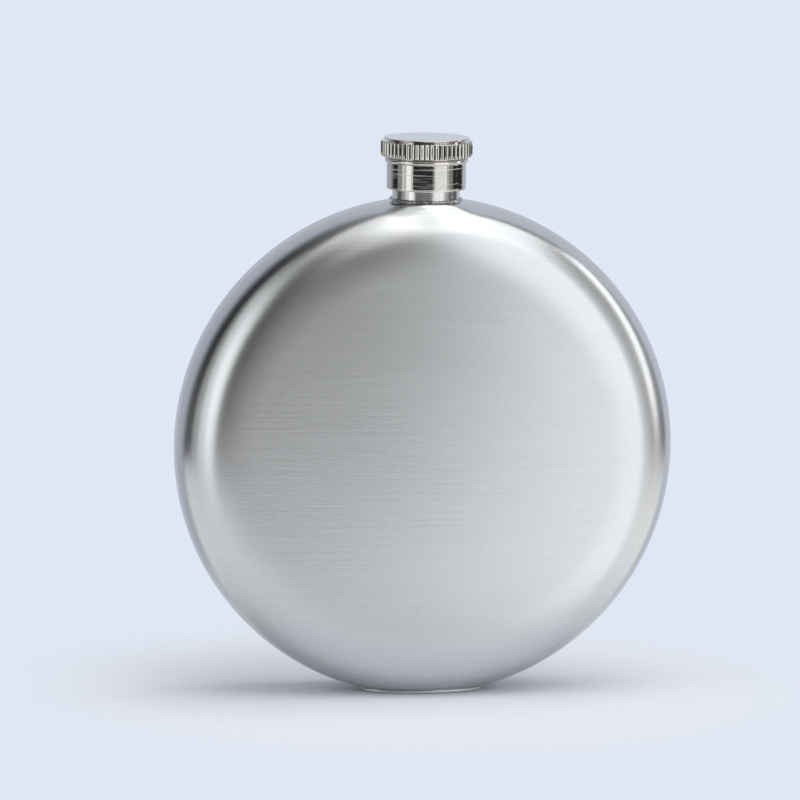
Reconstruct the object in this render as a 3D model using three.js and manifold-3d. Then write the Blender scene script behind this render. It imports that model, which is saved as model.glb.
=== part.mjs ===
// A round pocket flask for wine or spirits: two drawn steel half shells welded together at the rim,
// a foot plate welded under them, a threaded neck welded on top and a fluted screw cap with its
// thread insert and seal.
// Millimetres, +Z up. The origin is on the ground under the middle of the foot plate, +X runs to the
// right across the front face, and the front face looks along -Y.

import * as THREE from "three";
import { mergeVertices } from "three/addons/utils/BufferGeometryUtils.js";
import Module from "manifold-3d";

const wasm = await Module();
wasm.setup();

// Driving dimensions of the body
const BODY_DIAMETER = 98; // across the welded rim
const BODY_THICKNESS = 28; // over the crowns of the two faces
const SHEET = 0.6; // wall of the drawn shells
const RIM_WALL = 1.6; // straight stretch of the rim, over the seam
const FACE_RADIUS = 500; // crown of each face
const FOOT_LENGTH = 24; // flat stretch cut across the bottom, along X
const FOOT_PLATE_THICKNESS = 0.7;
const FOOT_PLATE_INSET = 0.1; // the plate stops this far inside the cut edge of the shells
const FOOT_PLATE_CHAMFER = 0.15;

// Driving dimensions of the neck
const NECK_BORE = 9.6;
const NECK_WALL = 1.8; // of the plain collar under the cap
const NECK_REACH = 3.6; // how far the neck reaches below the top of the rim
const NECK_LEAD_IN = 0.4; // chamfers at the mouth
const THREAD_STEP = 0.3; // from the collar in to the crests of the thread
const THREAD_RELIEF_DEPTH = 0.5; // run-out groove under the thread
const THREAD_RELIEF_HEIGHT = 0.6;
const COLLAR_COVER = 0.7; // how far the collar goes up inside the cap
const NECK_HOLE_GAP = 0.3; // between the neck and the edge of its hole
const SEAT_DROP = 0.45; // from the top of the rim down to the flat seat that is drawn up round the neck
const SEAT_EDGE = 0.5; // how far the flat of the seat goes out from the hole
const SEAT_FLANK_ANGLE = 58; // degrees, slope of the seat's flank down to the shells
const SEAT_FLANK_HEIGHT = 4; // the flank ends inside the shells' own surface
const WELD_LEG = 0.5; // weld bead, up the neck and out over the shells
const WELD_GAP = 0.15; // from the bead to the neck and the shells

// Driving dimensions of the cap
const CAP_CLEARANCE = 1.7; // from the top of the rim to the lower edge of the cap
const CAP_WALL = 0.4;
const CAP_TOP_WALL = 0.85;
const SKIRT_HEIGHT = 5.15;
const SKIRT_CHAMFER = 0.15;
const BEAD_HEIGHT = 0.95; // rounded ring over the skirt
const BEAD_PROUD = 0.4; // how far it stands out from the skirt
const LOWER_GROOVE_HEIGHT = 0.3;
const GRIP_HEIGHT = 2.95; // fluted band
const GRIP_PROUD = 1.2; // how far its ridges stand out from the skirt
const GRIP_CHAMFER = 0.15;
const FLUTE_COUNT = 60;
const FLUTE_DEPTH = 0.32;
const FLUTE_RIDGE = 0.22; // share of the pitch that stays as a narrow ridge
const UPPER_GROOVE_HEIGHT = 0.2;
const UPPER_GROOVE_DEPTH = 0.25; // below the skirt's own surface
const LID_PROUD = 0.6; // how far the lid stands out from the skirt
const LID_FLARE_HEIGHT = 0.38; // slanted underside of the lid
const LID_LIP = 0.12; // upright edge over the flare
const LID_CROWN = 0.3;
const INSERT_WALL = 0.7; // thread insert, behind the thread
const INSERT_LEAD_IN = 0.25;
const SEAL_THICKNESS = 1.2;
const SEAL_CHAMFER = 0.1;

// Clearances between pieces
const THREAD_CLEARANCE = 0.3; // thread insert round the neck thread
const COLLAR_CLEARANCE = 0.4; // thread insert over the top of the collar
const PRESS_GAP = 0.05; // insert and seal inside the cap

// Facets
const BODY_FACETS = 72;
const CORNER_FACETS = 7;
const CROWN_FACETS = 3;
const TURNED_FACETS = 60;
const BEAD_FACETS = 6;
const FOOT_FACETS = 18; // along one side of the foot plate
const FLUTE_FACETS = 3; // across one flute
const WELD_FACETS = 4; // over the bead

// Worked out from the driving dimensions: the corner that runs smoothly into rim wall and crown
const rimRadius = BODY_DIAMETER / 2;
const halfRimWall = RIM_WALL / 2;
const crownCentreDepth = FACE_RADIUS - BODY_THICKNESS / 2;
const cornerRadius =
  (FACE_RADIUS ** 2 - rimRadius ** 2 - (crownCentreDepth + halfRimWall) ** 2) /
  (2 * (FACE_RADIUS - rimRadius));
const cornerCentreRadius = rimRadius - cornerRadius;
const cornerStart = Math.atan2(-halfRimWall - crownCentreDepth, cornerCentreRadius);

// Worked out: heights above the ground
const footCutDepth = Math.sqrt(rimRadius ** 2 - (FOOT_LENGTH / 2) ** 2);
const bodyCentreHeight = footCutDepth + FOOT_PLATE_THICKNESS;
const rimTopHeight = bodyCentreHeight + rimRadius;
const capBottomHeight = rimTopHeight + CAP_CLEARANCE;
const skirtTop = SKIRT_HEIGHT;
const beadTop = skirtTop + BEAD_HEIGHT;
const gripBottom = beadTop + LOWER_GROOVE_HEIGHT;
const gripTop = gripBottom + GRIP_HEIGHT;
const lidBottom = gripTop + UPPER_GROOVE_HEIGHT;
const lidTop = lidBottom + LID_FLARE_HEIGHT + LID_LIP;
const capCeiling = lidTop - CAP_TOP_WALL;
const sealBottom = capCeiling - SEAL_THICKNESS;
const insertBottom = COLLAR_COVER + COLLAR_CLEARANCE;
const collarHeight = capBottomHeight + COLLAR_COVER;
const mouthHeight = capBottomHeight + sealBottom;

// Worked out: radii of the turned pieces
const boreRadius = NECK_BORE / 2;
const neckRadius = boreRadius + NECK_WALL;
const neckHoleRadius = neckRadius + NECK_HOLE_GAP;
const seatRadius = neckHoleRadius + SEAT_EDGE;
const threadRadius = neckRadius - THREAD_STEP;
const insertBoreRadius = threadRadius + THREAD_CLEARANCE;
const insertRadius = insertBoreRadius + INSERT_WALL;
const capBoreRadius = insertRadius + PRESS_GAP;
const skirtRadius = capBoreRadius + CAP_WALL;
const gripRadius = skirtRadius + GRIP_PROUD;
const lidRadius = skirtRadius + LID_PROUD;

// Finishes
const brushedSteel = { color: 0xb9bdc0, roughness: 0.35, metalness: 1 };
const polishedSteel = { color: 0xc9c8c2, roughness: 0.12, metalness: 1 };
const weldSteel = { color: 0xa9a9a6, roughness: 0.3, metalness: 1 };
const insertPlastic = { color: 0xe9e8e2, roughness: 0.5, metalness: 0 };
const sealSilicone = { color: 0xd8dad8, roughness: 0.6, metalness: 0 };

// A closed geometry as a solid that can be cut and joined
function toSolid(geometry) {
  const bare = geometry.clone();
  bare.deleteAttribute("normal");
  bare.deleteAttribute("uv");
  const merged = mergeVertices(bare);
  return new wasm.Manifold(
    new wasm.Mesh({
      numProp: 3,
      vertProperties: new Float32Array(merged.attributes.position.array),
      triVerts: new Uint32Array(merged.index.array),
    }),
  );
}

function toGeometry(solid) {
  const mesh = solid.getMesh();
  const geometry = new THREE.BufferGeometry();
  geometry.setAttribute("position", new THREE.BufferAttribute(mesh.vertProperties, 3));
  geometry.setIndex(new THREE.BufferAttribute(mesh.triVerts, 1));
  geometry.computeVertexNormals();
  return geometry;
}

// Points on an arc from one angle to another, both ends included
function arcPoints(x, y, radius, from, to, facets) {
  const points = [];
  for (let i = 0; i <= facets; i++) {
    const angle = from + ((to - from) * i) / facets;
    points.push(new THREE.Vector2(x + radius * Math.cos(angle), y + radius * Math.sin(angle)));
  }
  return points;
}

// A profile of (radius, height) points turned about the Z axis
function turned(points) {
  return new THREE.LatheGeometry(points, TURNED_FACETS).rotateX(Math.PI / 2);
}

// Radius of the body at a depth in its rim wall or corner, an inset inside its outer surface
function bodyRadiusAt(depth, inset = 0) {
  const intoCorner = Math.max(0, Math.abs(depth) - halfRimWall);
  return cornerCentreRadius + Math.sqrt((cornerRadius - inset) ** 2 - intoCorner ** 2);
}

// Half profile of one shell surface, from the middle of its face to the rim seam
function shellSurface(inset) {
  const crown = arcPoints(
    0, crownCentreDepth, FACE_RADIUS - inset, -Math.PI / 2, cornerStart, CROWN_FACETS,
  );
  const corner = arcPoints(
    cornerCentreRadius, -halfRimWall, cornerRadius - inset, cornerStart, 0, CORNER_FACETS,
  );
  crown[0].x = 0;
  return [...crown.slice(0, -1), ...corner, new THREE.Vector2(rimRadius - inset, 0)];
}

// The flat seat for the neck, which stands out from the round corners in front of and behind the neck
function seatSolid(inset) {
  const slope = THREE.MathUtils.degToRad(SEAT_FLANK_ANGLE);
  const top = rimRadius - SEAT_DROP;
  const flankRun = (height) => seatRadius + (top - height) / Math.tan(slope) - inset / Math.sin(slope);
  const foot = top - SEAT_FLANK_HEIGHT;
  return toSolid(
    turned([
      new THREE.Vector2(0, foot),
      new THREE.Vector2(flankRun(foot), foot),
      new THREE.Vector2(flankRun(top - inset), top - inset),
      new THREE.Vector2(0, top - inset),
    ]),
  );
}

// The whole body as one solid, an inset inside its outer surface
function bodySolid(inset) {
  const front = shellSurface(inset);
  const rear = front.slice(0, -1).reverse().map(({ x, y }) => new THREE.Vector2(x, -y));
  return toSolid(new THREE.LatheGeometry([...front, ...rear], BODY_FACETS)).add(seatSolid(inset));
}

// A drawn dish with its half of the neck's seat, cut flat for the foot plate and pierced for the neck
function shellGeometry() {
  const dish = bodySolid(0).subtract(bodySolid(SHEET)).trimByPlane([0, -1, 0], 0);
  const belowFoot = new THREE.BoxGeometry(BODY_DIAMETER, BODY_DIAMETER, rimRadius);
  belowFoot.translate(0, 0, -footCutDepth - rimRadius / 2);
  const neckHole = turned([
    new THREE.Vector2(0, 0),
    new THREE.Vector2(neckHoleRadius, 0),
    new THREE.Vector2(neckHoleRadius, BODY_DIAMETER),
    new THREE.Vector2(0, BODY_DIAMETER),
  ]);
  return toGeometry(dish.subtract(toSolid(belowFoot)).subtract(toSolid(neckHole)));
}

// The oval outline that the foot cut leaves on the body, one side of it mirrored to the other
function footOutline(inset) {
  const cornerRise = footCutDepth - cornerCentreRadius;
  const halfDepth = halfRimWall + Math.sqrt((cornerRadius - inset) ** 2 - cornerRise ** 2);
  const outline = new THREE.Shape();
  for (const side of [1, -1]) {
    for (let i = 0; i < FOOT_FACETS; i++) {
      const depth = -side * halfDepth * Math.cos((Math.PI * i) / FOOT_FACETS);
      const reach = Math.sqrt(Math.max(0, bodyRadiusAt(depth, inset) ** 2 - footCutDepth ** 2));
      if (side === 1 && i === 0) outline.moveTo(0, depth);
      else outline.lineTo(side * reach, depth);
    }
  }
  outline.closePath();
  return outline;
}

// A flat oval plate with broken edges, which closes the opening that the foot cut leaves
function footPlateGeometry() {
  return new THREE.ExtrudeGeometry(footOutline(FOOT_PLATE_INSET), {
    depth: FOOT_PLATE_THICKNESS - 2 * FOOT_PLATE_CHAMFER,
    bevelThickness: FOOT_PLATE_CHAMFER,
    bevelSize: FOOT_PLATE_CHAMFER,
    bevelOffset: -FOOT_PLATE_CHAMFER,
    bevelSegments: 1,
  }).translate(0, 0, FOOT_PLATE_CHAMFER);
}

// A turned tube: plain collar below, run-out groove, thread blank above and a chamfered mouth
function neckGeometry() {
  const bottom = rimTopHeight - NECK_REACH;
  const reliefTop = collarHeight + THREAD_RELIEF_HEIGHT;
  const reliefRadius = threadRadius - THREAD_RELIEF_DEPTH;
  return turned([
    new THREE.Vector2(boreRadius, bottom),
    new THREE.Vector2(neckRadius, bottom),
    new THREE.Vector2(neckRadius, collarHeight),
    new THREE.Vector2(reliefRadius, collarHeight),
    new THREE.Vector2(reliefRadius, reliefTop),
    new THREE.Vector2(threadRadius, reliefTop + THREAD_RELIEF_DEPTH),
    new THREE.Vector2(threadRadius, mouthHeight - NECK_LEAD_IN),
    new THREE.Vector2(threadRadius - NECK_LEAD_IN, mouthHeight),
    new THREE.Vector2(boreRadius + NECK_LEAD_IN, mouthHeight),
    new THREE.Vector2(boreRadius, mouthHeight - NECK_LEAD_IN),
    new THREE.Vector2(boreRadius, bottom),
  ]);
}

// The bead of weld metal in the corner between the neck and its seat
function weldGeometry() {
  const foot = neckRadius + WELD_GAP;
  const seat = rimTopHeight - SEAT_DROP + WELD_GAP;
  return turned([
    new THREE.Vector2(foot, seat),
    ...arcPoints(foot, seat, WELD_LEG, 0, Math.PI / 2, WELD_FACETS),
    new THREE.Vector2(foot, seat),
  ]);
}

// Section of the grip band: hollow flutes with narrow ridges between them
function fluteOutline() {
  const outline = new THREE.Shape();
  const pitch = (2 * Math.PI) / FLUTE_COUNT;
  const fluteWidth = pitch * (1 - FLUTE_RIDGE);
  for (let flute = 0; flute < FLUTE_COUNT; flute++) {
    for (let i = 0; i <= FLUTE_FACETS; i++) {
      const across = (2 * i) / FLUTE_FACETS - 1;
      const angle = flute * pitch + (across * fluteWidth) / 2;
      const radius = gripRadius - FLUTE_DEPTH * (1 - across ** 2);
      const point = [radius * Math.cos(angle), radius * Math.sin(angle)];
      if (flute === 0 && i === 0) outline.moveTo(...point);
      else outline.lineTo(...point);
    }
  }
  outline.closePath();
  return outline;
}

// The fluted band, turned down to a chamfer at both ends
function gripSolid() {
  const flutes = new THREE.ExtrudeGeometry(fluteOutline(), { depth: GRIP_HEIGHT, bevelEnabled: false });
  flutes.translate(0, 0, gripBottom);
  const blank = turned([
    new THREE.Vector2(0, gripBottom),
    new THREE.Vector2(gripRadius - GRIP_CHAMFER, gripBottom),
    new THREE.Vector2(gripRadius + GRIP_CHAMFER, gripBottom + 2 * GRIP_CHAMFER),
    new THREE.Vector2(gripRadius + GRIP_CHAMFER, gripTop - 2 * GRIP_CHAMFER),
    new THREE.Vector2(gripRadius - GRIP_CHAMFER, gripTop),
    new THREE.Vector2(0, gripTop),
  ]);
  return toSolid(flutes).intersect(toSolid(blank));
}

// The cap shell: skirt, bead, fluted grip and crowned lid, bored out for the insert and the seal
function capShellGeometry() {
  const bead = arcPoints(0, 0, 1, -Math.PI / 2, Math.PI / 2, BEAD_FACETS).map(
    ({ x, y }) => new THREE.Vector2(skirtRadius + BEAD_PROUD * x, skirtTop + (BEAD_HEIGHT / 2) * (1 + y)),
  );
  const crownRadius = (lidRadius ** 2 + LID_CROWN ** 2) / (2 * LID_CROWN);
  const crownAngle = Math.asin(lidRadius / crownRadius);
  const crown = arcPoints(
    0, lidTop + LID_CROWN - crownRadius, crownRadius, Math.PI / 2 - crownAngle, Math.PI / 2, CROWN_FACETS,
  );
  crown[CROWN_FACETS].x = 0;
  const grooveRadius = skirtRadius - UPPER_GROOVE_DEPTH;
  const body = turned([
    new THREE.Vector2(0, 0),
    new THREE.Vector2(skirtRadius - SKIRT_CHAMFER, 0),
    new THREE.Vector2(skirtRadius, SKIRT_CHAMFER),
    ...bead,
    new THREE.Vector2(skirtRadius, gripTop - GRIP_CHAMFER),
    new THREE.Vector2(grooveRadius, gripTop - GRIP_CHAMFER),
    new THREE.Vector2(grooveRadius, lidBottom),
    new THREE.Vector2(lidRadius, lidBottom + LID_FLARE_HEIGHT),
    ...crown,
  ]);
  const bore = turned([
    new THREE.Vector2(0, -CAP_WALL),
    new THREE.Vector2(capBoreRadius, -CAP_WALL),
    new THREE.Vector2(capBoreRadius, capCeiling),
    new THREE.Vector2(0, capCeiling),
  ]);
  return toGeometry(toSolid(body).add(gripSolid()).subtract(toSolid(bore)));
}

// The ring that carries the cap's thread, with a lead-in at its lower edge
function threadInsertGeometry() {
  return turned([
    new THREE.Vector2(insertBoreRadius + INSERT_LEAD_IN, insertBottom),
    new THREE.Vector2(insertRadius, insertBottom),
    new THREE.Vector2(insertRadius, sealBottom),
    new THREE.Vector2(insertBoreRadius, sealBottom),
    new THREE.Vector2(insertBoreRadius, insertBottom + INSERT_LEAD_IN),
    new THREE.Vector2(insertBoreRadius + INSERT_LEAD_IN, insertBottom),
  ]);
}

// The disc that the cap presses on the mouth of the neck
function sealGeometry() {
  return turned([
    new THREE.Vector2(0, sealBottom),
    new THREE.Vector2(insertRadius - SEAL_CHAMFER, sealBottom),
    new THREE.Vector2(insertRadius, sealBottom + SEAL_CHAMFER),
    new THREE.Vector2(insertRadius, capCeiling - SEAL_CHAMFER),
    new THREE.Vector2(insertRadius - SEAL_CHAMFER, capCeiling),
    new THREE.Vector2(0, capCeiling),
  ]);
}

function piece(name, geometry, finish) {
  const mesh = new THREE.Mesh(geometry, new THREE.MeshStandardMaterial(finish));
  mesh.name = name;
  return mesh;
}

// Assembly
const flask = new THREE.Group();

const body = new THREE.Group();
body.position.z = bodyCentreHeight;
const rearShell = piece("rear_shell", shellGeometry(), brushedSteel);
rearShell.rotation.z = Math.PI;
body.add(piece("front_shell", shellGeometry(), brushedSteel), rearShell);

const cap = new THREE.Group();
cap.position.z = capBottomHeight;
cap.add(
  piece("cap_shell", capShellGeometry(), polishedSteel),
  piece("cap_thread_insert", threadInsertGeometry(), insertPlastic),
  piece("cap_seal", sealGeometry(), sealSilicone),
);

flask.add(
  body,
  piece("foot_plate", footPlateGeometry(), brushedSteel),
  piece("neck", neckGeometry(), polishedSteel),
  piece("neck_weld", weldGeometry(), weldSteel),
  cap,
);

export default flask;
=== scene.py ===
import math

import bmesh
import bpy
from mathutils import Matrix, Vector, noise


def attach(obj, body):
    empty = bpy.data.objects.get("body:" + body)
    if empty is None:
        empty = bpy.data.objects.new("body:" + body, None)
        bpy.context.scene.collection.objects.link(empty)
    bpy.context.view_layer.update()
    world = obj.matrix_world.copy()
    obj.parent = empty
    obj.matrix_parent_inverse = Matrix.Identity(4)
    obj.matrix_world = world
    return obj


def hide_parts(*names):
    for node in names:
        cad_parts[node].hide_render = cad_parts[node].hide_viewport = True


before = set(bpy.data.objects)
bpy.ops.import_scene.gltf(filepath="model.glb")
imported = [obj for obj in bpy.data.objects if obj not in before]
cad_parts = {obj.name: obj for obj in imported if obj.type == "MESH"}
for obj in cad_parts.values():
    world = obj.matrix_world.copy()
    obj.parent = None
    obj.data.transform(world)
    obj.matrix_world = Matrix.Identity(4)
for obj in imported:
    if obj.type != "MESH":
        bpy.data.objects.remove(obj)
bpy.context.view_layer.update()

# Sizes in millimetres, as in the part's source. Heights are above the ground.
MM = 0.001
RIM_RADIUS = 49.0
SHEET = 0.6
HALF_RIM_WALL = 0.8
FACE_RADIUS = 500.0
HALF_BODY = 14.0
SHOULDER_REACH = 3.5
FOOT_TOP = 0.7
FOOT_HALF_LENGTH = 12.0
FOOT_INSET = 0.1
FOOT_EDGE = 0.16

NECK_RADIUS = 6.6
NECK_BORE = 4.8
NECK_HOLE = 6.9
NECK_REACH = 3.6
SEAT_DROP = 0.45
SEAT_RADIUS = 7.4
SEAT_ROUNDING = 0.8
SEAT_START = 4.0
SEAT_REACH = 13.0
SEAT_DEPTH = 8.0
SEAT_HALF_WIDTH = 11.3
THREAD_ROOT = 5.75
THREAD_CREST = 6.3
THREAD_PITCH = 2.0

SKIRT_RADIUS = 7.75
CAP_BORE = 7.35
SKIRT_TOP = 5.15
BEAD_TOP = 6.1
BEAD_PROUD = 0.4
GRIP_BOTTOM = 6.4
GRIP_TOP = 9.35
GRIP_RADIUS = 8.95
GRIP_CHAMFER = 0.2
FLUTES = 60
FLUTE_DEPTH = 0.21
GROOVE_RADIUS = 7.5
LID_BOTTOM = 9.55
LID_EDGE = 9.93
LID_TOP = 10.05
LID_RADIUS = 8.35
LID_CROWN = 0.3
LIP_RADIUS = 0.2
CAP_CEILING = 9.2
SEAL_BOTTOM = 8.0
INSERT_BOTTOM = 1.1
INSERT_RADIUS = 7.3
INSERT_ROOT = 6.6
INSERT_CREST = 5.95

# Where the crown of a face runs smoothly into the round corner, worked out as in the source
CROWN_CENTRE = FACE_RADIUS - HALF_BODY
CORNER_RADIUS = (FACE_RADIUS ** 2 - RIM_RADIUS ** 2 - (CROWN_CENTRE + HALF_RIM_WALL) ** 2) / (
    2 * (FACE_RADIUS - RIM_RADIUS)
)
CORNER_CENTRE = RIM_RADIUS - CORNER_RADIUS
CORNER_START = math.atan2(HALF_RIM_WALL + CROWN_CENTRE, CORNER_CENTRE)
FOOT_DROP = math.sqrt(RIM_RADIUS ** 2 - FOOT_HALF_LENGTH ** 2)
BODY_HEIGHT = FOOT_DROP + FOOT_TOP
RIM_TOP = BODY_HEIGHT + RIM_RADIUS
CAP_BOTTOM = RIM_TOP + 1.7
COLLAR_TOP = CAP_BOTTOM + 0.7
MOUTH = CAP_BOTTOM + SEAL_BOTTOM

# Where a flank of the neck's seat may meet the round body, and how far in it may still do so
FLANK_ENDS = [SEAT_RADIUS + 0.1 * step for step in range(4, 60)]
FLANK_LIMIT = HALF_RIM_WALL + 0.96 * CORNER_RADIUS


# Shapes

def arc(centre, radius, start, end, steps):
    """Points along an arc in a section, as pairs of radius and height."""
    turns = [start + (end - start) * step / steps for step in range(steps + 1)]
    return [(centre[0] + radius * math.cos(t), centre[1] + radius * math.sin(t)) for t in turns]


def chain(bm, points, closed):
    """A section of radius and height, drawn as edges in the plane of X and Z."""
    verts = [bm.verts.new((radius, 0, height)) for radius, height in points]
    followers = verts[1:] + verts[:1] if closed else verts[1:]
    return verts + [bm.edges.new(pair) for pair in zip(verts, followers)]


def weld_together(bm):
    """Merges the doubles that a spin leaves on the axis and turns every face outwards."""
    bmesh.ops.remove_doubles(bm, verts=bm.verts[:], dist=1e-4)
    bmesh.ops.recalc_face_normals(bm, faces=bm.faces[:])


def spun(points, steps, closed=False):
    """A section turned once round Z."""
    bm = bmesh.new()
    bmesh.ops.spin(
        bm, geom=chain(bm, points, closed), cent=(0, 0, 0), axis=(0, 0, 1), dvec=(0, 0, 0),
        angle=2 * math.pi, steps=steps, use_merge=True,
    )
    weld_together(bm)
    return bm


def piece(name, bm, sharp_degrees=35):
    """A finished piece in metres, smooth except along its real edges."""
    bmesh.ops.scale(bm, vec=(MM, MM, MM), verts=bm.verts[:])
    for face in bm.faces:
        face.smooth = True
    mesh = bpy.data.meshes.new(name)
    bm.to_mesh(mesh)
    bm.free()
    mesh.set_sharp_from_angle(angle=math.radians(sharp_degrees))
    made = bpy.data.objects.new(name, mesh)
    bpy.context.scene.collection.objects.link(made)
    return made


def shoulder(radius, lean, length, steps):
    """Inwards from the round corner, while its bend falls evenly to the slight bend of the crown."""
    height = HALF_RIM_WALL + CORNER_RADIUS * math.cos(lean)
    stride = length / steps
    points = []
    for step in range(steps):
        share = (step + 0.5) / steps
        turn = stride * ((1 - share) / CORNER_RADIUS + share / FACE_RADIUS)
        lean -= turn / 2
        radius -= math.cos(lean) * stride
        height += math.sin(lean) * stride
        lean -= turn / 2
        points.append((radius, height, lean))
    return points


def shell_surface(inset, crown_steps, shoulder_steps, corner_steps):
    """Half section of one wall of a shell, from the middle of its face out to the rim seam."""
    join = CORNER_CENTRE + CORNER_RADIUS * math.cos(CORNER_START)
    outer = join + SHOULDER_REACH
    outer_lean = math.asin((outer - CORNER_CENTRE) / CORNER_RADIUS)
    inner = join - SHOULDER_REACH
    for _ in range(6):
        crown_lean = math.asin(inner / FACE_RADIUS)
        length = 2 * (outer_lean - crown_lean) / (1 / CORNER_RADIUS + 1 / FACE_RADIUS)
        middle = shoulder(outer, outer_lean, length, shoulder_steps)
        inner = middle[-1][0]
    top = middle[-1][1] + FACE_RADIUS * (1 - math.cos(crown_lean))
    points = []
    for step in range(crown_steps):
        lean = crown_lean * step / crown_steps
        points.append((FACE_RADIUS * math.sin(lean), top - FACE_RADIUS * (1 - math.cos(lean)), lean))
    points += middle[::-1]
    for step in range(corner_steps + 1):
        share = 0.5 - 0.5 * math.cos(math.pi * step / corner_steps)
        lean = outer_lean + (math.pi / 2 - outer_lean) * share
        across = CORNER_CENTRE + CORNER_RADIUS * math.sin(lean)
        points.append((across, HALF_RIM_WALL + CORNER_RADIUS * math.cos(lean), lean))
    points.append((RIM_RADIUS, 0, math.pi / 2))
    return [
        (radius - inset * math.sin(lean), height - inset * math.cos(lean))
        for radius, height, lean in points
    ]


def stood_up(bm, turn_degrees):
    """Turns a dish that was spun round Z so that its face looks along Y, at the body's height."""
    turn = Matrix.Rotation(math.radians(turn_degrees), 3, "X")
    bmesh.ops.rotate(bm, cent=(0, 0, 0), matrix=turn, verts=bm.verts[:])
    bmesh.ops.translate(bm, vec=(0, 0, BODY_HEIGHT), verts=bm.verts[:])


def round_top(x, y):
    """Height of the round body at a place near its top."""
    into_corner = max(0.0, abs(y) - HALF_RIM_WALL)
    body_radius = CORNER_CENTRE + math.sqrt(CORNER_RADIUS ** 2 - into_corner ** 2)
    return BODY_HEIGHT + math.sqrt(body_radius ** 2 - x ** 2)


def seat_top(x, y):
    """Height of the shells beside the neck, where they are drawn up to a flat seat for it.

    From the rounded edge of the seat, a straight flank runs down until it meets the round body
    without a crease, so it ends nearer in front of the neck than beside it.
    """
    plain = round_top(x, y)
    across = math.hypot(x, y)
    flat = RIM_TOP - SEAT_DROP
    flank = max(
        ((round_top(x * reach / across, y * reach / across) - flat) / (reach - SEAT_RADIUS), reach)
        for reach in FLANK_ENDS
        if abs(y) * reach / across < FLANK_LIMIT
    )
    if across > flank[1]:
        return plain
    fall = flank[0] * (across - SEAT_RADIUS)
    near = max(0.0, SEAT_ROUNDING - abs(fall)) / SEAT_ROUNDING
    return max(plain, flat + min(0.0, fall) - near * near * SEAT_ROUNDING / 4)


def beside_neck(vert):
    """Whether a point of a shell lies where the seat for the neck is drawn up."""
    across = math.hypot(vert.co.x, vert.co.y)
    high_enough = vert.co.z > RIM_TOP - SEAT_DEPTH
    return high_enough and SEAT_START < across < SEAT_REACH and abs(vert.co.y) < SEAT_HALF_WIDTH


def draw_up_seat(bm):
    """Draws both walls of a shell up round the neck, with finer faces outside."""
    def outside(vert):
        return beside_neck(vert) and abs(vert.co.z - round_top(vert.co.x, vert.co.y)) < 0.1

    fine = [edge for edge in bm.edges if outside(edge.verts[0]) and outside(edge.verts[1])]
    bmesh.ops.subdivide_edges(bm, edges=fine, cuts=3, use_grid_fill=True)
    for vert in bm.verts:
        if outside(vert):
            vert.co.z = seat_top(vert.co.x, vert.co.y)
        elif beside_neck(vert):
            vert.co.z += seat_top(vert.co.x, vert.co.y) - round_top(vert.co.x, vert.co.y)


def cut_flat(bm, height, keep_surface):
    """Cuts a body off at a height. Either the part above stays, or only the outline of the cut."""
    return bmesh.ops.bisect_plane(
        bm, geom=bm.verts[:] + bm.edges[:] + bm.faces[:], dist=1e-5,
        plane_co=(0, 0, height), plane_no=(0, 0, -1),
        clear_outer=True, clear_inner=not keep_surface,
    )


def bored(solid, radius, bottom, top):
    """Cuts a round hole along Z through a piece."""
    bm = bmesh.new()
    bmesh.ops.create_cone(
        bm, cap_ends=True, segments=96,
        radius1=radius * MM, radius2=radius * MM, depth=(top - bottom) * MM,
    )
    bmesh.ops.translate(bm, vec=(0, 0, (top + bottom) / 2 * MM), verts=bm.verts[:])
    drill_mesh = bpy.data.meshes.new("drill")
    bm.to_mesh(drill_mesh)
    bm.free()
    drill = bpy.data.objects.new("drill", drill_mesh)
    bpy.context.scene.collection.objects.link(drill)
    cut = solid.modifiers.new("hole", "BOOLEAN")
    cut.operation = "DIFFERENCE"
    cut.solver = "EXACT"
    cut.object = drill
    bpy.context.view_layer.update()
    evaluated = solid.evaluated_get(bpy.context.evaluated_depsgraph_get())
    whole = bpy.data.meshes.new_from_object(evaluated)
    solid.modifiers.clear()
    blank = solid.data
    name = blank.name
    solid.data = whole
    bpy.data.meshes.remove(blank)
    whole.name = name
    bpy.data.objects.remove(drill)
    bpy.data.meshes.remove(drill_mesh)
    return solid


def drawn_shell(name, turn_degrees):
    """One half of the body: a drawn dish, cut flat at the foot and pierced for the neck."""
    outside = shell_surface(0, crown_steps=20, shoulder_steps=28, corner_steps=40)
    inside = shell_surface(SHEET, crown_steps=8, shoulder_steps=6, corner_steps=16)
    bm = spun(outside + inside[::-1], steps=216)
    stood_up(bm, turn_degrees)
    draw_up_seat(bm)
    cut = cut_flat(bm, FOOT_TOP, True)
    cut_edges = [edge for edge in cut["geom_cut"] if isinstance(edge, bmesh.types.BMEdge)]
    bmesh.ops.edgeloop_fill(bm, edges=cut_edges)
    bmesh.ops.recalc_face_normals(bm, faces=bm.faces[:])
    return bored(piece(name, bm), NECK_HOLE, BODY_HEIGHT, RIM_TOP + 5)


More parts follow.
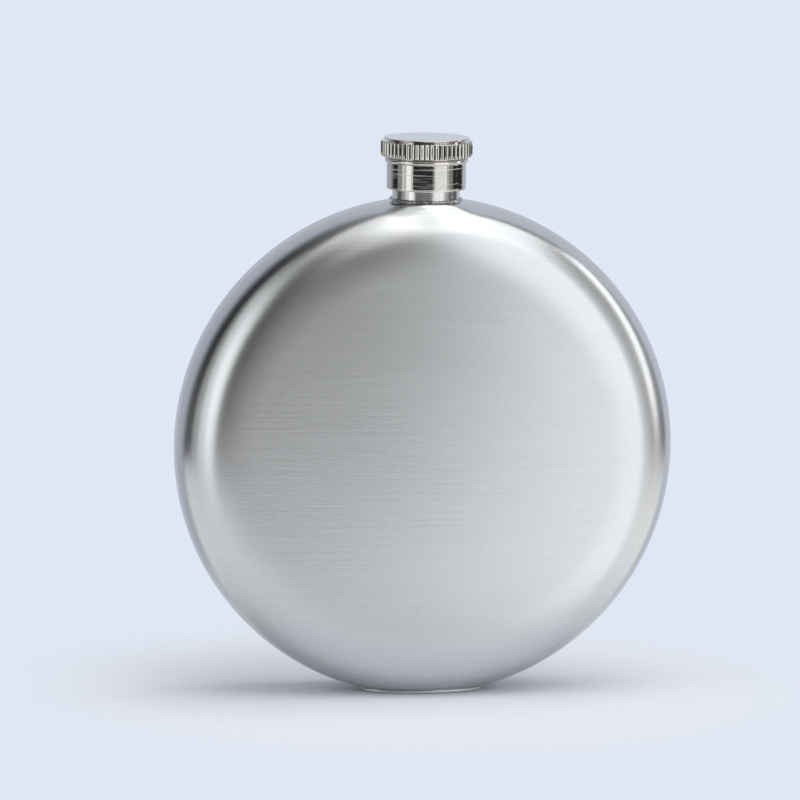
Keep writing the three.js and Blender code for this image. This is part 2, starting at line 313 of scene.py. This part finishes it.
def foot_plate(name):
    """The oval plate under the body, set back a little from the shells and with broken edges."""
    half = shell_surface(0, crown_steps=2, shoulder_steps=4, corner_steps=44)
    both = half + [(radius, -depth) for radius, depth in half[-2::-1]]
    bm = spun(both, steps=240)
    stood_up(bm, 90)
    cut = cut_flat(bm, FOOT_TOP, False)
    outline = [edge for edge in cut["geom_cut"] if isinstance(edge, bmesh.types.BMEdge)]
    top = bmesh.ops.edgeloop_fill(bm, edges=outline)["faces"]
    bmesh.ops.inset_region(bm, faces=top, thickness=FOOT_INSET, use_even_offset=True)
    rim = [face for face in bm.faces if face not in top]
    bmesh.ops.delete(bm, geom=rim, context="FACES")
    lower = bmesh.ops.extrude_face_region(bm, geom=[face for face in bm.faces])["geom"]
    lower_verts = [item for item in lower if isinstance(item, bmesh.types.BMVert)]
    bmesh.ops.translate(bm, vec=(0, 0, -FOOT_TOP), verts=lower_verts)
    bmesh.ops.recalc_face_normals(bm, faces=bm.faces[:])
    edges = [edge for edge in bm.edges if abs(edge.verts[0].co.z - edge.verts[1].co.z) < 0.01]
    bmesh.ops.bevel(
        bm, geom=edges, offset=FOOT_EDGE, offset_type="OFFSET", affect="EDGES",
        segments=2, profile=0.5, material=-1,
    )
    return piece(name, bm, 60)


def thread_ridge(bm, section, turns, taper_turns, root):
    """Winds a small section up round Z as a right-hand ridge that runs out at both ends."""
    steps_a_turn = 72
    steps = round(turns * steps_a_turn)
    least_share = 0.02
    first = len(bm.verts)
    bmesh.ops.spin(
        bm, geom=chain(bm, section, True), cent=(0, 0, 0), axis=(0, 0, 1),
        dvec=(0, 0, THREAD_PITCH / steps_a_turn),
        angle=2 * math.pi * steps / steps_a_turn, steps=steps,
    )
    bm.verts.ensure_lookup_table()
    for number, vert in enumerate(bm.verts[first:]):
        step = number // len(section)
        run = min(step, steps - step) / (taper_turns * steps_a_turn)
        share = min(1.0, least_share + run)
        radius = math.hypot(vert.co.x, vert.co.y)
        wanted = root + (radius - root) * share
        vert.co.x *= wanted / radius
        vert.co.y *= wanted / radius
    open_edges = [edge for edge in bm.edges if edge.is_boundary]
    bmesh.ops.holes_fill(bm, edges=open_edges, sides=0)
    bmesh.ops.recalc_face_normals(bm, faces=bm.faces[:])


def ridge_section(root, crest, middle):
    """Section of a thread, wide at its root and narrow at its crest, sunk a little into its wall."""
    sink = 0.08 if crest > root else -0.08
    half_root = 0.6
    half_flank = 0.26
    half_crest = 0.16
    return [
        (root - sink, middle - half_root),
        (crest - sink, middle - half_flank),
        (crest, middle - half_crest),
        (crest, middle + half_crest),
        (crest - sink, middle + half_flank),
        (root - sink, middle + half_root),
    ]


def neck(name):
    """A turned tube: plain collar below, run-out groove and thread above, chamfered mouth."""
    bottom = RIM_TOP - NECK_REACH
    bm = spun(
        [
            (NECK_BORE + 0.3, bottom),
            (NECK_RADIUS - 0.2, bottom),
            (NECK_RADIUS, bottom + 0.2),
            (NECK_RADIUS, COLLAR_TOP - 0.12),
            (NECK_RADIUS - 0.12, COLLAR_TOP),
            (THREAD_ROOT + 0.08, COLLAR_TOP),
            (THREAD_ROOT, COLLAR_TOP + 0.08),
            (THREAD_ROOT, MOUTH - 0.2),
            (THREAD_ROOT - 0.06, MOUTH - 0.06),
            (THREAD_ROOT - 0.2, MOUTH),
            (NECK_BORE + 0.25, MOUTH),
            (NECK_BORE + 0.06, MOUTH - 0.08),
            (NECK_BORE, MOUTH - 0.3),
            (NECK_BORE, bottom + 0.3),
        ],
        steps=128, closed=True,
    )
    section = ridge_section(THREAD_ROOT, THREAD_CREST, COLLAR_TOP + 1.2)
    thread_ridge(bm, section, turns=2.5, taper_turns=0.22, root=THREAD_ROOT - 0.1)
    return piece(name, bm)


def cap_insert(name):
    """The ring that carries the cap's thread, which lies between the turns of the neck's thread."""
    bottom = CAP_BOTTOM + INSERT_BOTTOM
    top = CAP_BOTTOM + SEAL_BOTTOM
    bm = spun(
        [
            (INSERT_ROOT + 0.25, bottom),
            (INSERT_RADIUS - 0.08, bottom),
            (INSERT_RADIUS, bottom + 0.08),
            (INSERT_RADIUS, top),
            (INSERT_ROOT, top),
            (INSERT_ROOT, bottom + 0.25),
        ],
        steps=128, closed=True,
    )
    section = ridge_section(INSERT_ROOT, INSERT_CREST, COLLAR_TOP + 2.2)
    thread_ridge(bm, section, turns=1.9, taper_turns=0.2, root=INSERT_ROOT + 0.1)
    return piece(name, bm)


def seal(name):
    """The soft disc under the cap's ceiling, pressed in a little where the mouth meets it."""
    bottom = CAP_BOTTOM + SEAL_BOTTOM
    top = CAP_BOTTOM + CAP_CEILING
    bm = spun(
        [
            (0, bottom + 0.02),
            (4.6, bottom + 0.02),
            (4.95, bottom),
            (5.1, bottom + 0.012),
            (5.5, bottom + 0.012),
            (5.7, bottom),
            (INSERT_RADIUS - 0.12, bottom),
            (INSERT_RADIUS - 0.03, bottom + 0.03),
            (INSERT_RADIUS, bottom + 0.12),
            (INSERT_RADIUS, top - 0.12),
            (INSERT_RADIUS - 0.03, top - 0.03),
            (INSERT_RADIUS - 0.12, top),
            (0, top),
        ],
        steps=128,
    )
    return piece(name, bm)


def flute_radius(share):
    """Radius of the grip at a share of a flute's pitch, from its middle at 0 to the ridge at 0.5."""
    return GRIP_RADIUS - FLUTE_DEPTH * (1 - 4 * share * share)


def cap_shell(name):
    """The cap: skirt, bead, fluted grip and crowned lid, with the bore for the insert and the seal."""
    steps_a_flute = 12
    chamfer_rows = 6
    chamfer = [GRIP_CHAMFER * row / chamfer_rows for row in range(chamfer_rows + 1)]
    bead_middle = (SKIRT_TOP + BEAD_TOP) / 2
    bead_half = (BEAD_TOP - SKIRT_TOP) / 2
    bead = []
    for degrees in range(-90, 91, 15):
        turn = math.radians(degrees)
        height = bead_middle + bead_half * math.sin(turn)
        bead.append((SKIRT_RADIUS + BEAD_PROUD * math.cos(turn), height))
    grip_heights = [GRIP_BOTTOM + rise for rise in chamfer]
    grip_heights += [GRIP_BOTTOM + (GRIP_TOP - GRIP_BOTTOM) * share for share in (0.3, 0.5, 0.7)]
    grip_heights += [GRIP_TOP - rise for rise in chamfer[::-1]]
    crown_radius = (LID_RADIUS ** 2 + LID_CROWN ** 2) / (2 * LID_CROWN)
    crown_half = math.asin((LID_RADIUS - 0.05) / crown_radius)
    crown = arc(
        (0, LID_TOP + LID_CROWN - crown_radius), crown_radius,
        math.pi / 2 - crown_half, math.pi / 2, steps=12,
    )
    lip = arc((LID_RADIUS - LIP_RADIUS, LID_TOP - LIP_RADIUS), LIP_RADIUS, 0, math.radians(84), steps=7)
    section = [
        (0, CAP_CEILING),
        (CAP_BORE - 0.1, CAP_CEILING),
        (CAP_BORE, CAP_CEILING - 0.1),
        (CAP_BORE, 0.1),
        (CAP_BORE + 0.08, 0),
        (SKIRT_RADIUS - 0.16, 0),
        (SKIRT_RADIUS - 0.05, 0.05),
        (SKIRT_RADIUS, 0.16),
        (SKIRT_RADIUS, 0.2),
        (SKIRT_RADIUS, SKIRT_TOP / 2),
        (SKIRT_RADIUS, SKIRT_TOP - 0.05),
        *bead,
        (SKIRT_RADIUS - 0.08, BEAD_TOP + 0.1),
        (SKIRT_RADIUS - 0.08, GRIP_BOTTOM),
        *[(GRIP_RADIUS, height) for height in grip_heights],
        (GROOVE_RADIUS + 0.05, GRIP_TOP),
        (GROOVE_RADIUS, GRIP_TOP + 0.05),
        (GROOVE_RADIUS, LID_BOTTOM),
        (LID_RADIUS - 0.06, LID_EDGE - 0.12),
        *lip,
        *crown[1:-1],
        (0, crown[-1][1]),
    ]
    bm = spun(section, FLUTES * steps_a_flute)
    pitch = 2 * math.pi / FLUTES
    for vert in bm.verts:
        radius = math.hypot(vert.co.x, vert.co.y)
        if abs(radius - GRIP_RADIUS) > 0.01:
            continue
        turn = math.atan2(vert.co.y, vert.co.x)
        step = round(turn / pitch * steps_a_flute)
        share = step / steps_a_flute - round(step / steps_a_flute)
        from_end = min(vert.co.z - GRIP_BOTTOM, GRIP_TOP - vert.co.z)
        wanted = min(flute_radius(share), GRIP_RADIUS - GRIP_CHAMFER + from_end)
        vert.co.x *= wanted / radius
        vert.co.y *= wanted / radius
    bmesh.ops.translate(bm, vec=(0, 0, CAP_BOTTOM), verts=bm.verts[:])
    bmesh.ops.recalc_face_normals(bm, faces=bm.faces[:])
    return piece(name, bm, 32)


def weld_bead(name):
    """The uneven bead of weld metal that lies in the corner between the neck and its seat."""
    foot = NECK_RADIUS - 0.06
    points = [(foot, -0.12), (foot, 0.4)]
    for turn in (0.2, 0.5, 0.8, 1.1, 1.35):
        points.append((foot + 0.1 + 0.34 * math.sin(turn), 0.03 + 0.34 * math.cos(turn)))
    points += [(foot + 0.48, -0.02), (foot + 0.52, -0.12)]
    bm = spun(points, steps=240, closed=True)
    for vert in bm.verts:
        radius = math.hypot(vert.co.x, vert.co.y)
        turn = math.atan2(vert.co.y, vert.co.x)
        round_trip = Vector((math.cos(turn), math.sin(turn), 0.0))
        lump = noise.noise(round_trip * 4.0 + Vector((3.1, 0.4, 1.7)))
        ripple = noise.noise(round_trip * 13.0 + Vector((7.3, 2.9, 5.2)))
        drop = max(0.0, noise.noise(round_trip * 9.0 + Vector((1.9, 6.1, 2.2))) - 0.25)
        swell = 1 + 0.3 * lump + 0.3 * ripple + 1.6 * drop
        out = foot + (radius - foot) * swell
        rise = vert.co.z * swell if vert.co.z > 0 else vert.co.z
        vert.co.x = out * math.cos(turn)
        vert.co.y = out * math.sin(turn)
        vert.co.z = seat_top(vert.co.x, vert.co.y) + rise
    bmesh.ops.recalc_face_normals(bm, faces=bm.faces[:])
    return piece(name, bm, 70)


# Finishes

class Value:
    """One value among a finish's nodes, so that sums and products of values read as such."""

    def __init__(self, finish, socket):
        self.finish = finish
        self.socket = socket

    def math(self, operation, *values):
        return self.finish.node("ShaderNodeMath", {"operation": operation}, dict(enumerate(values)))

    def __add__(self, other):
        return self.math("ADD", self, other)

    def __radd__(self, other):
        return self.math("ADD", other, self)

    def __sub__(self, other):
        return self.math("SUBTRACT", self, other)

    def __rsub__(self, other):
        return self.math("SUBTRACT", other, self)

    def __mul__(self, other):
        return self.math("MULTIPLY", self, other)

    def __rmul__(self, other):
        return self.math("MULTIPLY", other, self)

    def __pow__(self, other):
        return self.math("POWER", self, other)

    def __abs__(self):
        return self.math("ABSOLUTE", self)


class Finish:
    """A node tree and the one way in which nodes are added to it."""

    def __init__(self, tree):
        self.tree = tree
        self.tree.nodes.clear()

    def node(self, kind, settings=None, inputs=None, output=0):
        made = self.tree.nodes.new(kind)
        for name, setting in (settings or {}).items():
            setattr(made, name, setting)
        for name, value in (inputs or {}).items():
            if isinstance(value, Value):
                self.tree.links.new(value.socket, made.inputs[name])
            else:
                made.inputs[name].default_value = value
        return Value(self, made.outputs[output]) if made.outputs else made

    def parts(self, vector):
        """The X, Y and Z of a vector."""
        return [self.node("ShaderNodeSeparateXYZ", None, {0: vector}, axis) for axis in range(3)]

    def vector(self, x, y, z):
        return self.node("ShaderNodeCombineXYZ", None, {0: x, 1: y, 2: z})

    def noise(self, vector, scale, detail=2.0, rough=0.5):
        inputs = {"Vector": vector, "Scale": scale, "Detail": detail, "Roughness": rough}
        return self.node("ShaderNodeTexNoise", None, inputs)

    def step(self, value, start, end):
        """Rises smoothly from 0 at start to 1 at end."""
        inputs = {"Value": value, "From Min": start, "From Max": end}
        return self.node("ShaderNodeMapRange", {"interpolation_type": "SMOOTHSTEP"}, inputs)

    def blend(self, share, first, second):
        """One colour where share is 0 and another where it is 1."""
        inputs = {0: share, 6: first, 7: second}
        return self.node("ShaderNodeMix", {"data_type": "RGBA"}, inputs, 2)

    def mixed(self, share, first, second):
        """One number where share is 0 and another where it is 1."""
        return self.node("ShaderNodeMix", {"data_type": "FLOAT"}, {0: share, 2: first, 3: second})


class Surface(Finish):
    """The finish of a piece, read from its place in millimetres."""

    def __init__(self, name):
        self.material = bpy.data.materials.new(name)
        self.material.use_nodes = True
        super().__init__(self.material.node_tree)
        place = self.node("ShaderNodeTexCoord", None, None, "Object")
        self.place = self.node(
            "ShaderNodeVectorMath", {"operation": "SCALE"}, {0: place, "Scale": 1000.0}
        )
        self.x, self.y, self.z = self.parts(self.place)

    def bump(self, height, depth):
        """A fine relief of the given depth in millimetres."""
        inputs = {"Height": height, "Distance": depth * MM, "Strength": 1.0}
        return self.node("ShaderNodeBump", None, inputs)

    def coat(self, **inputs):
        """The shader itself. Names of its sockets are written with _ for a space."""
        named = {name.replace("_", " "): value for name, value in inputs.items()}
        shader = self.node("ShaderNodeBsdfPrincipled", None, named)
        self.node("ShaderNodeOutputMaterial", None, {"Surface": shader})
        return self.material


def grey(level, warmth=0.0):
    """A near-grey colour, warmer above 0 and cooler below."""
    return (level * (1 + warmth), level, level * (1 - 1.5 * warmth), 1.0)


def brushed_shell_finish():
    """Steel sheet, brushed from side to side, with a finer polish on the round corners."""
    s = Surface("brushed_steel_shell")
    height = s.z - BODY_HEIGHT
    radius = (s.x * s.x + height * height) ** 0.5
    shoulder_share = s.step(radius, 34.0, 40.0)
    corner = s.step(radius, 45.0, 48.0)
    steel = (0.648, 0.662, 0.671)

    strokes = s.noise(s.vector(s.x * 0.05, s.y * 0.1, height * 2.6), 1.0, 3.0, 0.65)
    short_strokes = s.noise(s.vector(s.x * 0.25, s.y * 0.25, height * 2.6), 1.0, 2.0, 0.6)
    grain = s.noise(s.vector(s.x * 2.0, s.y * 2.0, height * 3.2), 1.0, 1.0)
    patches = s.noise(s.place, 0.06, 3.0, 0.5)

    tone = 1.0 + (strokes - 0.5) * 0.13 + (grain - 0.5) * 0.12 + (patches - 0.5) * 0.03
    base = s.node("ShaderNodeVectorMath", {"operation": "SCALE"}, {0: steel, "Scale": tone})
    uneven = (strokes - 0.5) * 0.04 + (patches - 0.5) * 0.03
    rough = s.mixed(corner, 0.29, 0.19) + uneven * (1.0 - shoulder_share)
    brushing = strokes * 0.5 + short_strokes * s.mixed(shoulder_share, 0.4, 0.2) + grain * 0.06
    normal = s.bump(brushing * s.mixed(corner, 1.0, 0.4), 0.026)
    return s.coat(
        Base_Color=base, Metallic=1.0, Roughness=rough, Anisotropic=0.5, Anisotropic_Rotation=0.25,
        Normal=normal,
    )


def foot_plate_finish():
    """Blanked steel plate with straight brushing and a rougher sheared edge."""
    s = Surface("brushed_steel_foot")
    lines = s.noise(s.vector(s.x * 0.05, s.y * 5.0, s.z * 3.0), 1.0, 3.0, 0.6)
    sheared = s.noise(s.vector(s.x * 3.0, s.y * 3.0, s.z * 0.8), 1.0, 2.0)
    edge = s.step(abs(s.z - 0.35), 0.34, 0.2)
    texture = s.mixed(edge, lines, sheared)
    base = s.blend(texture, grey(0.5), grey(0.72))
    rough = 0.36 + (texture - 0.5) * 0.12
    return s.coat(Base_Color=base, Metallic=1.0, Roughness=rough, Normal=s.bump(texture, 0.015))


def polished_neck_finish():
    """Turned steel with a soft polish and faint turning lines."""
    s = Surface("polished_steel_neck")
    lines = s.noise(s.vector(s.x * 0.02, s.y * 0.02, s.z * 6.0), 1.0, 3.0, 0.6)
    smudge = s.noise(s.place, 0.5, 3.0)
    base = s.blend(smudge, grey(0.63), grey(0.72, 0.005))
    rough = 0.17 + (smudge - 0.5) * 0.08 + (lines - 0.5) * 0.06
    return s.coat(Base_Color=base, Metallic=1.0, Roughness=rough, Normal=s.bump(lines, 0.006))


def weld_finish():
    """Bright weld metal with small ripples, darker where the ripples are low."""
    s = Surface("weld_steel")
    ripples = s.noise(s.place, 2.2, 3.0, 0.6)
    pits = s.noise(s.place, 6.0, 2.0)
    base = s.blend(ripples, grey(0.2, 0.02), grey(0.56, 0.01))
    rough = 0.2 + pits * 0.08
    normal = s.bump(ripples + pits * 0.3, 0.08)
    return s.coat(Base_Color=base, Metallic=1.0, Roughness=rough, Normal=normal)


def polished_cap_finish():
    """Bright nickel-plated cap, with turning lines on the skirt and a fine satin on the lid, whose
    colour is painted paler as a painted sheen.
    """
    s = Surface("polished_nickel_cap")
    above = s.z - CAP_BOTTOM
    skirt = s.step(above, SKIRT_TOP + 0.1, SKIRT_TOP - 0.1)
    lid = s.step(above, LID_TOP - 0.02, LID_TOP + 0.02)
    turning = s.noise(s.vector(s.x * 0.03, s.y * 0.03, s.z * 1.7), 1.0, 3.0, 0.6)
    hair = s.step(s.noise(s.vector(s.x * 0.06, s.y * 0.06, s.z * 4.5), 1.0, 2.0), 0.6, 0.7) * skirt
    rings = s.noise(s.vector((s.x * s.x + s.y * s.y) ** 0.5, 0.0, 0.0), 3.0, 3.0, 0.6)
    smudge = s.noise(s.place, 0.45, 3.0)
    lines = turning * skirt + hair * 0.6 + rings * lid * 0.15
    nickel = s.blend(smudge, grey(0.55, 0.03), grey(0.61, 0.04))
    # The lid is painted much paler than the nickel: a painted sheen that stands in for its bright
    # reflection of the backdrop.
    base = s.blend(lid, nickel, grey(0.88, 0.01))
    rough = 0.06 + smudge * 0.03 + hair * 0.16 + lid * 0.1
    return s.coat(Base_Color=base, Metallic=1.0, Roughness=rough, Normal=s.bump(lines, 0.016))


def insert_finish():
    """Pale moulded plastic with a faint mould grain."""
    s = Surface("insert_plastic")
    grain = s.noise(s.place, 3.0, 3.0)
    flow = s.noise(s.vector(s.x, s.y, s.z * 0.3), 0.5, 2.0)
    base = s.blend(flow, (0.76, 0.75, 0.70, 1), (0.84, 0.83, 0.79, 1))
    rough = 0.42 + grain * 0.12
    return s.coat(Base_Color=base, Roughness=rough, Normal=s.bump(grain, 0.01))


def seal_finish():
    """Milky silicone with a soft sheen and faint cloudiness."""
    s = Surface("seal_silicone")
    cloud = s.noise(s.place, 0.6, 3.0)
    grain = s.noise(s.place, 8.0, 2.0)
    base = s.blend(cloud, (0.68, 0.69, 0.68, 1), (0.78, 0.79, 0.78, 1))
    rough = 0.45 + grain * 0.15
    return s.coat(Base_Color=base, Roughness=rough, Normal=s.bump(grain, 0.006))


# The pieces, their bodies and the nodes that they stand for

shell_finish = brushed_shell_finish()
for made, node, body, slot, finish in (
    (drawn_shell("front_shell_drawn", 90), "front_shell", "flask", "brushed_shell", shell_finish),
    (drawn_shell("rear_shell_drawn", -90), "rear_shell", "flask", "brushed_shell", shell_finish),
    (foot_plate("foot_plate_cut"), "foot_plate", "flask", "foot_plate", foot_plate_finish()),
    (neck("neck_turned"), "neck", "flask", "polished_neck", polished_neck_finish()),
    (weld_bead("neck_weld_bead"), "neck_weld", "flask", "weld_bead", weld_finish()),
    (cap_shell("cap_turned"), "cap_shell", "cap", "polished_cap", polished_cap_finish()),
    (cap_insert("cap_insert_threaded"), "cap_thread_insert", "cap", "thread_insert", insert_finish()),
    (seal("cap_seal_disc"), "cap_seal", "seal", "seal", seal_finish()),
):
    made.data.materials.clear()
    made.data.materials.append(finish)
    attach(made, body)
    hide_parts(node)


# Floor, camera and light

BACKGROUND = (0.745, 0.80, 0.905)
AIM = Vector((-4.68, 0.0, BODY_HEIGHT + 9.06)) * MM
CAMERA_DISTANCE = 1.7
CAMERA_LEFT = 9.45
CAMERA_UP = 7.97
CAMERA_ROLL = 0.67
CAMERA_LENS = 391.3
FLOOR_RADIUS = 100.0
FADE_START = 35.0
FADE_END = 95.0

# Lamps: name, degrees to the right and upwards, half the width and height in degrees, brightness,
# tint and roll. All stand at one distance in metres.
LAMP_DISTANCE = 3.0
DAYLIGHT = (0.975, 1.0, 1.0)
WHITE = (1.0, 1.0, 1.0)
LAMPS = (
    ("left_softbox", (-59.7, 11.1), (11.2, 21.0), 0.87, DAYLIGHT, 1.1),
    ("left_edge", (-70.1, 17.8), (15.7, 27.1), 0.55, DAYLIGHT, 1.9),
    ("left_outer_edge", (-83.5, 24.5), (14.7, 33.8), 0.32, DAYLIGHT, -9.0),
    ("right_softbox", (34.1, 16.1), (19.4, 25.8), 0.79, DAYLIGHT, -2.4),
    ("right_frame", (35.7, 0.8), (25.3, 49.4), 0.30, DAYLIGHT, -8.2),
    ("right_edge", (64.0, 19.0), (14.4, 31.0), 0.29, DAYLIGHT, -7.7),
    ("top_softbox", (70.0, 70.3), (22.4, 23.0), 1.29, WHITE, 14.1),
    ("side_strip", (97.2, 19.5), (6.8, 23.8), 1.75, WHITE, -29.6),
    ("front_top", (12.0, 53.3), (20.3, 9.6), 0.61, WHITE, -5.9),
    ("top_left", (-76.4, 88.3), (13.9, 25.9), 0.78, WHITE, 26.5),
    ("neck_fill", (18.0, 65.5), (10.0, 6.0), 0.6, WHITE, 0.0),
)


def direction(right_degrees, up_degrees):
    """A unit vector, seen from the flask: degrees to the right of straight ahead and upwards."""
    right = math.radians(right_degrees)
    up = math.radians(up_degrees)
    return Vector((math.sin(right) * math.cos(up), -math.cos(right) * math.cos(up), math.sin(up)))


def facing(place, target, roll_degrees):
    """Where something stands that looks at a target, as a matrix."""
    back = (place - target).normalized()
    right = Vector((0, 0, 1)).cross(back).normalized()
    up = back.cross(right)
    roll = math.radians(roll_degrees)
    rolled_right = right * math.cos(roll) + up * math.sin(roll)
    rolled_up = up * math.cos(roll) - right * math.sin(roll)
    turned = Matrix((rolled_right, rolled_up, back)).transposed().to_4x4()
    return Matrix.Translation(place) @ turned


def photo_camera():
    """The camera, where the photograph was taken from."""
    data = bpy.data.cameras.new("camera")
    data.lens = CAMERA_LENS
    data.sensor_width = 36.0
    data.clip_end = 20.0
    camera = bpy.data.objects.new("camera", data)
    bpy.context.scene.collection.objects.link(camera)
    place = AIM + direction(-CAMERA_LEFT, CAMERA_UP) * CAMERA_DISTANCE
    camera.matrix_world = facing(place, AIM, CAMERA_ROLL)
    bpy.context.scene.camera = camera


def softbox(name, aim_degrees, half_degrees, radiance, tint, roll_degrees):
    """A soft rectangular lamp that looks at the flask. Radiance is how bright its face is."""
    width, height = (2 * LAMP_DISTANCE * math.tan(math.radians(half)) for half in half_degrees)
    data = bpy.data.lights.new(name, "AREA")
    data.shape = "RECTANGLE"
    data.size = width
    data.size_y = height
    data.energy = radiance * math.pi * width * height
    data.color = tint
    lamp = bpy.data.objects.new(name, data)
    bpy.context.scene.collection.objects.link(lamp)
    lamp.matrix_world = facing(AIM + direction(*aim_degrees) * LAMP_DISTANCE, AIM, roll_degrees)
    lamp.visible_camera = False


def floor_finish():
    """Pale matt ground that fades into the background further out."""
    s = Surface("floor_paper")
    out = (s.x * s.x + s.y * s.y) ** 0.5
    paper = s.node("ShaderNodeBsdfDiffuse", None, {"Color": (0.865, 0.89, 0.935, 1)})
    clear = s.node("ShaderNodeBsdfTransparent")
    fade = s.step(out, FADE_START, FADE_END)
    mix = s.node("ShaderNodeMixShader", None, {0: fade, 1: paper, 2: clear})
    s.node("ShaderNodeOutputMaterial", None, {"Surface": mix})
    return s.material


def floor():
    """A plain round floor under the flask."""
    bm = bmesh.new()
    bmesh.ops.create_circle(bm, cap_ends=True, segments=96, radius=FLOOR_RADIUS)
    ground = piece("floor", bm)
    ground.data.materials.append(floor_finish())


def surroundings():
    """A plain pale background, dark in front of the flask and pale behind it in reflections."""
    world = bpy.data.worlds.new("surroundings")
    world.use_nodes = True
    bpy.context.scene.world = world
    w = Finish(world.node_tree)
    way = w.node("ShaderNodeTexCoord", None, None, "Generated")
    x, y, z = w.parts(way)
    # Pale paper behind the flask, which begins further round on the left than on the right
    to_right = w.step(x, -0.3, 0.3)
    paper_start = w.mixed(to_right, 0.411, 0.392)
    paper_end = w.mixed(to_right, 0.75, 0.542)
    behind = w.step(y + z * 0.112, paper_start, paper_end)
    paper = w.blend(w.step(x, -0.7, 0.4), (0.50, 0.531, 0.609, 1), (0.63, 0.66, 0.74, 1))
    # Pale ground below
    below = w.step(z, -0.15, -0.195)
    ground = w.blend(w.step(x, -0.4, 0.8), (0.85, 0.86, 0.875, 1), (1.06, 1.06, 1.065, 1))
    # Dim room in front, a little lighter straight ahead than at the left, darkest near the ground
    ahead = w.step(z, -0.08, -0.02) * w.step(x, -0.62, -0.1)
    low = w.mixed(w.step(z, -0.055, -0.08), 0.113, 0.03)
    dim = w.mixed(w.step(z, 0.0, 0.4), low, 0.03) + ahead * 0.165
    room = w.vector(dim, dim, dim * 1.02)
    seen = w.blend(behind, room, paper)
    seen = w.blend(below * (1 - behind), seen, ground)
    camera_ray = w.node("ShaderNodeLightPath", None, None, "Is Camera Ray")
    mirror_ray = w.node("ShaderNodeLightPath", None, None, "Is Glossy Ray")
    clear_ray = w.node("ShaderNodeLightPath", None, None, "Is Transmission Ray")
    colour = w.blend(mirror_ray + clear_ray, (0.37, 0.375, 0.385, 1), seen)
    colour = w.blend(camera_ray, colour, (*BACKGROUND, 1))
    light = w.node("ShaderNodeBackground", None, {"Color": colour, "Strength": 1.0})
    w.node("ShaderNodeOutputWorld", None, {"Surface": light})


photo_camera()
floor()
surroundings()
for lamp in LAMPS:
    softbox(*lamp)
bpy.context.scene.view_settings.view_transform = "Standard"
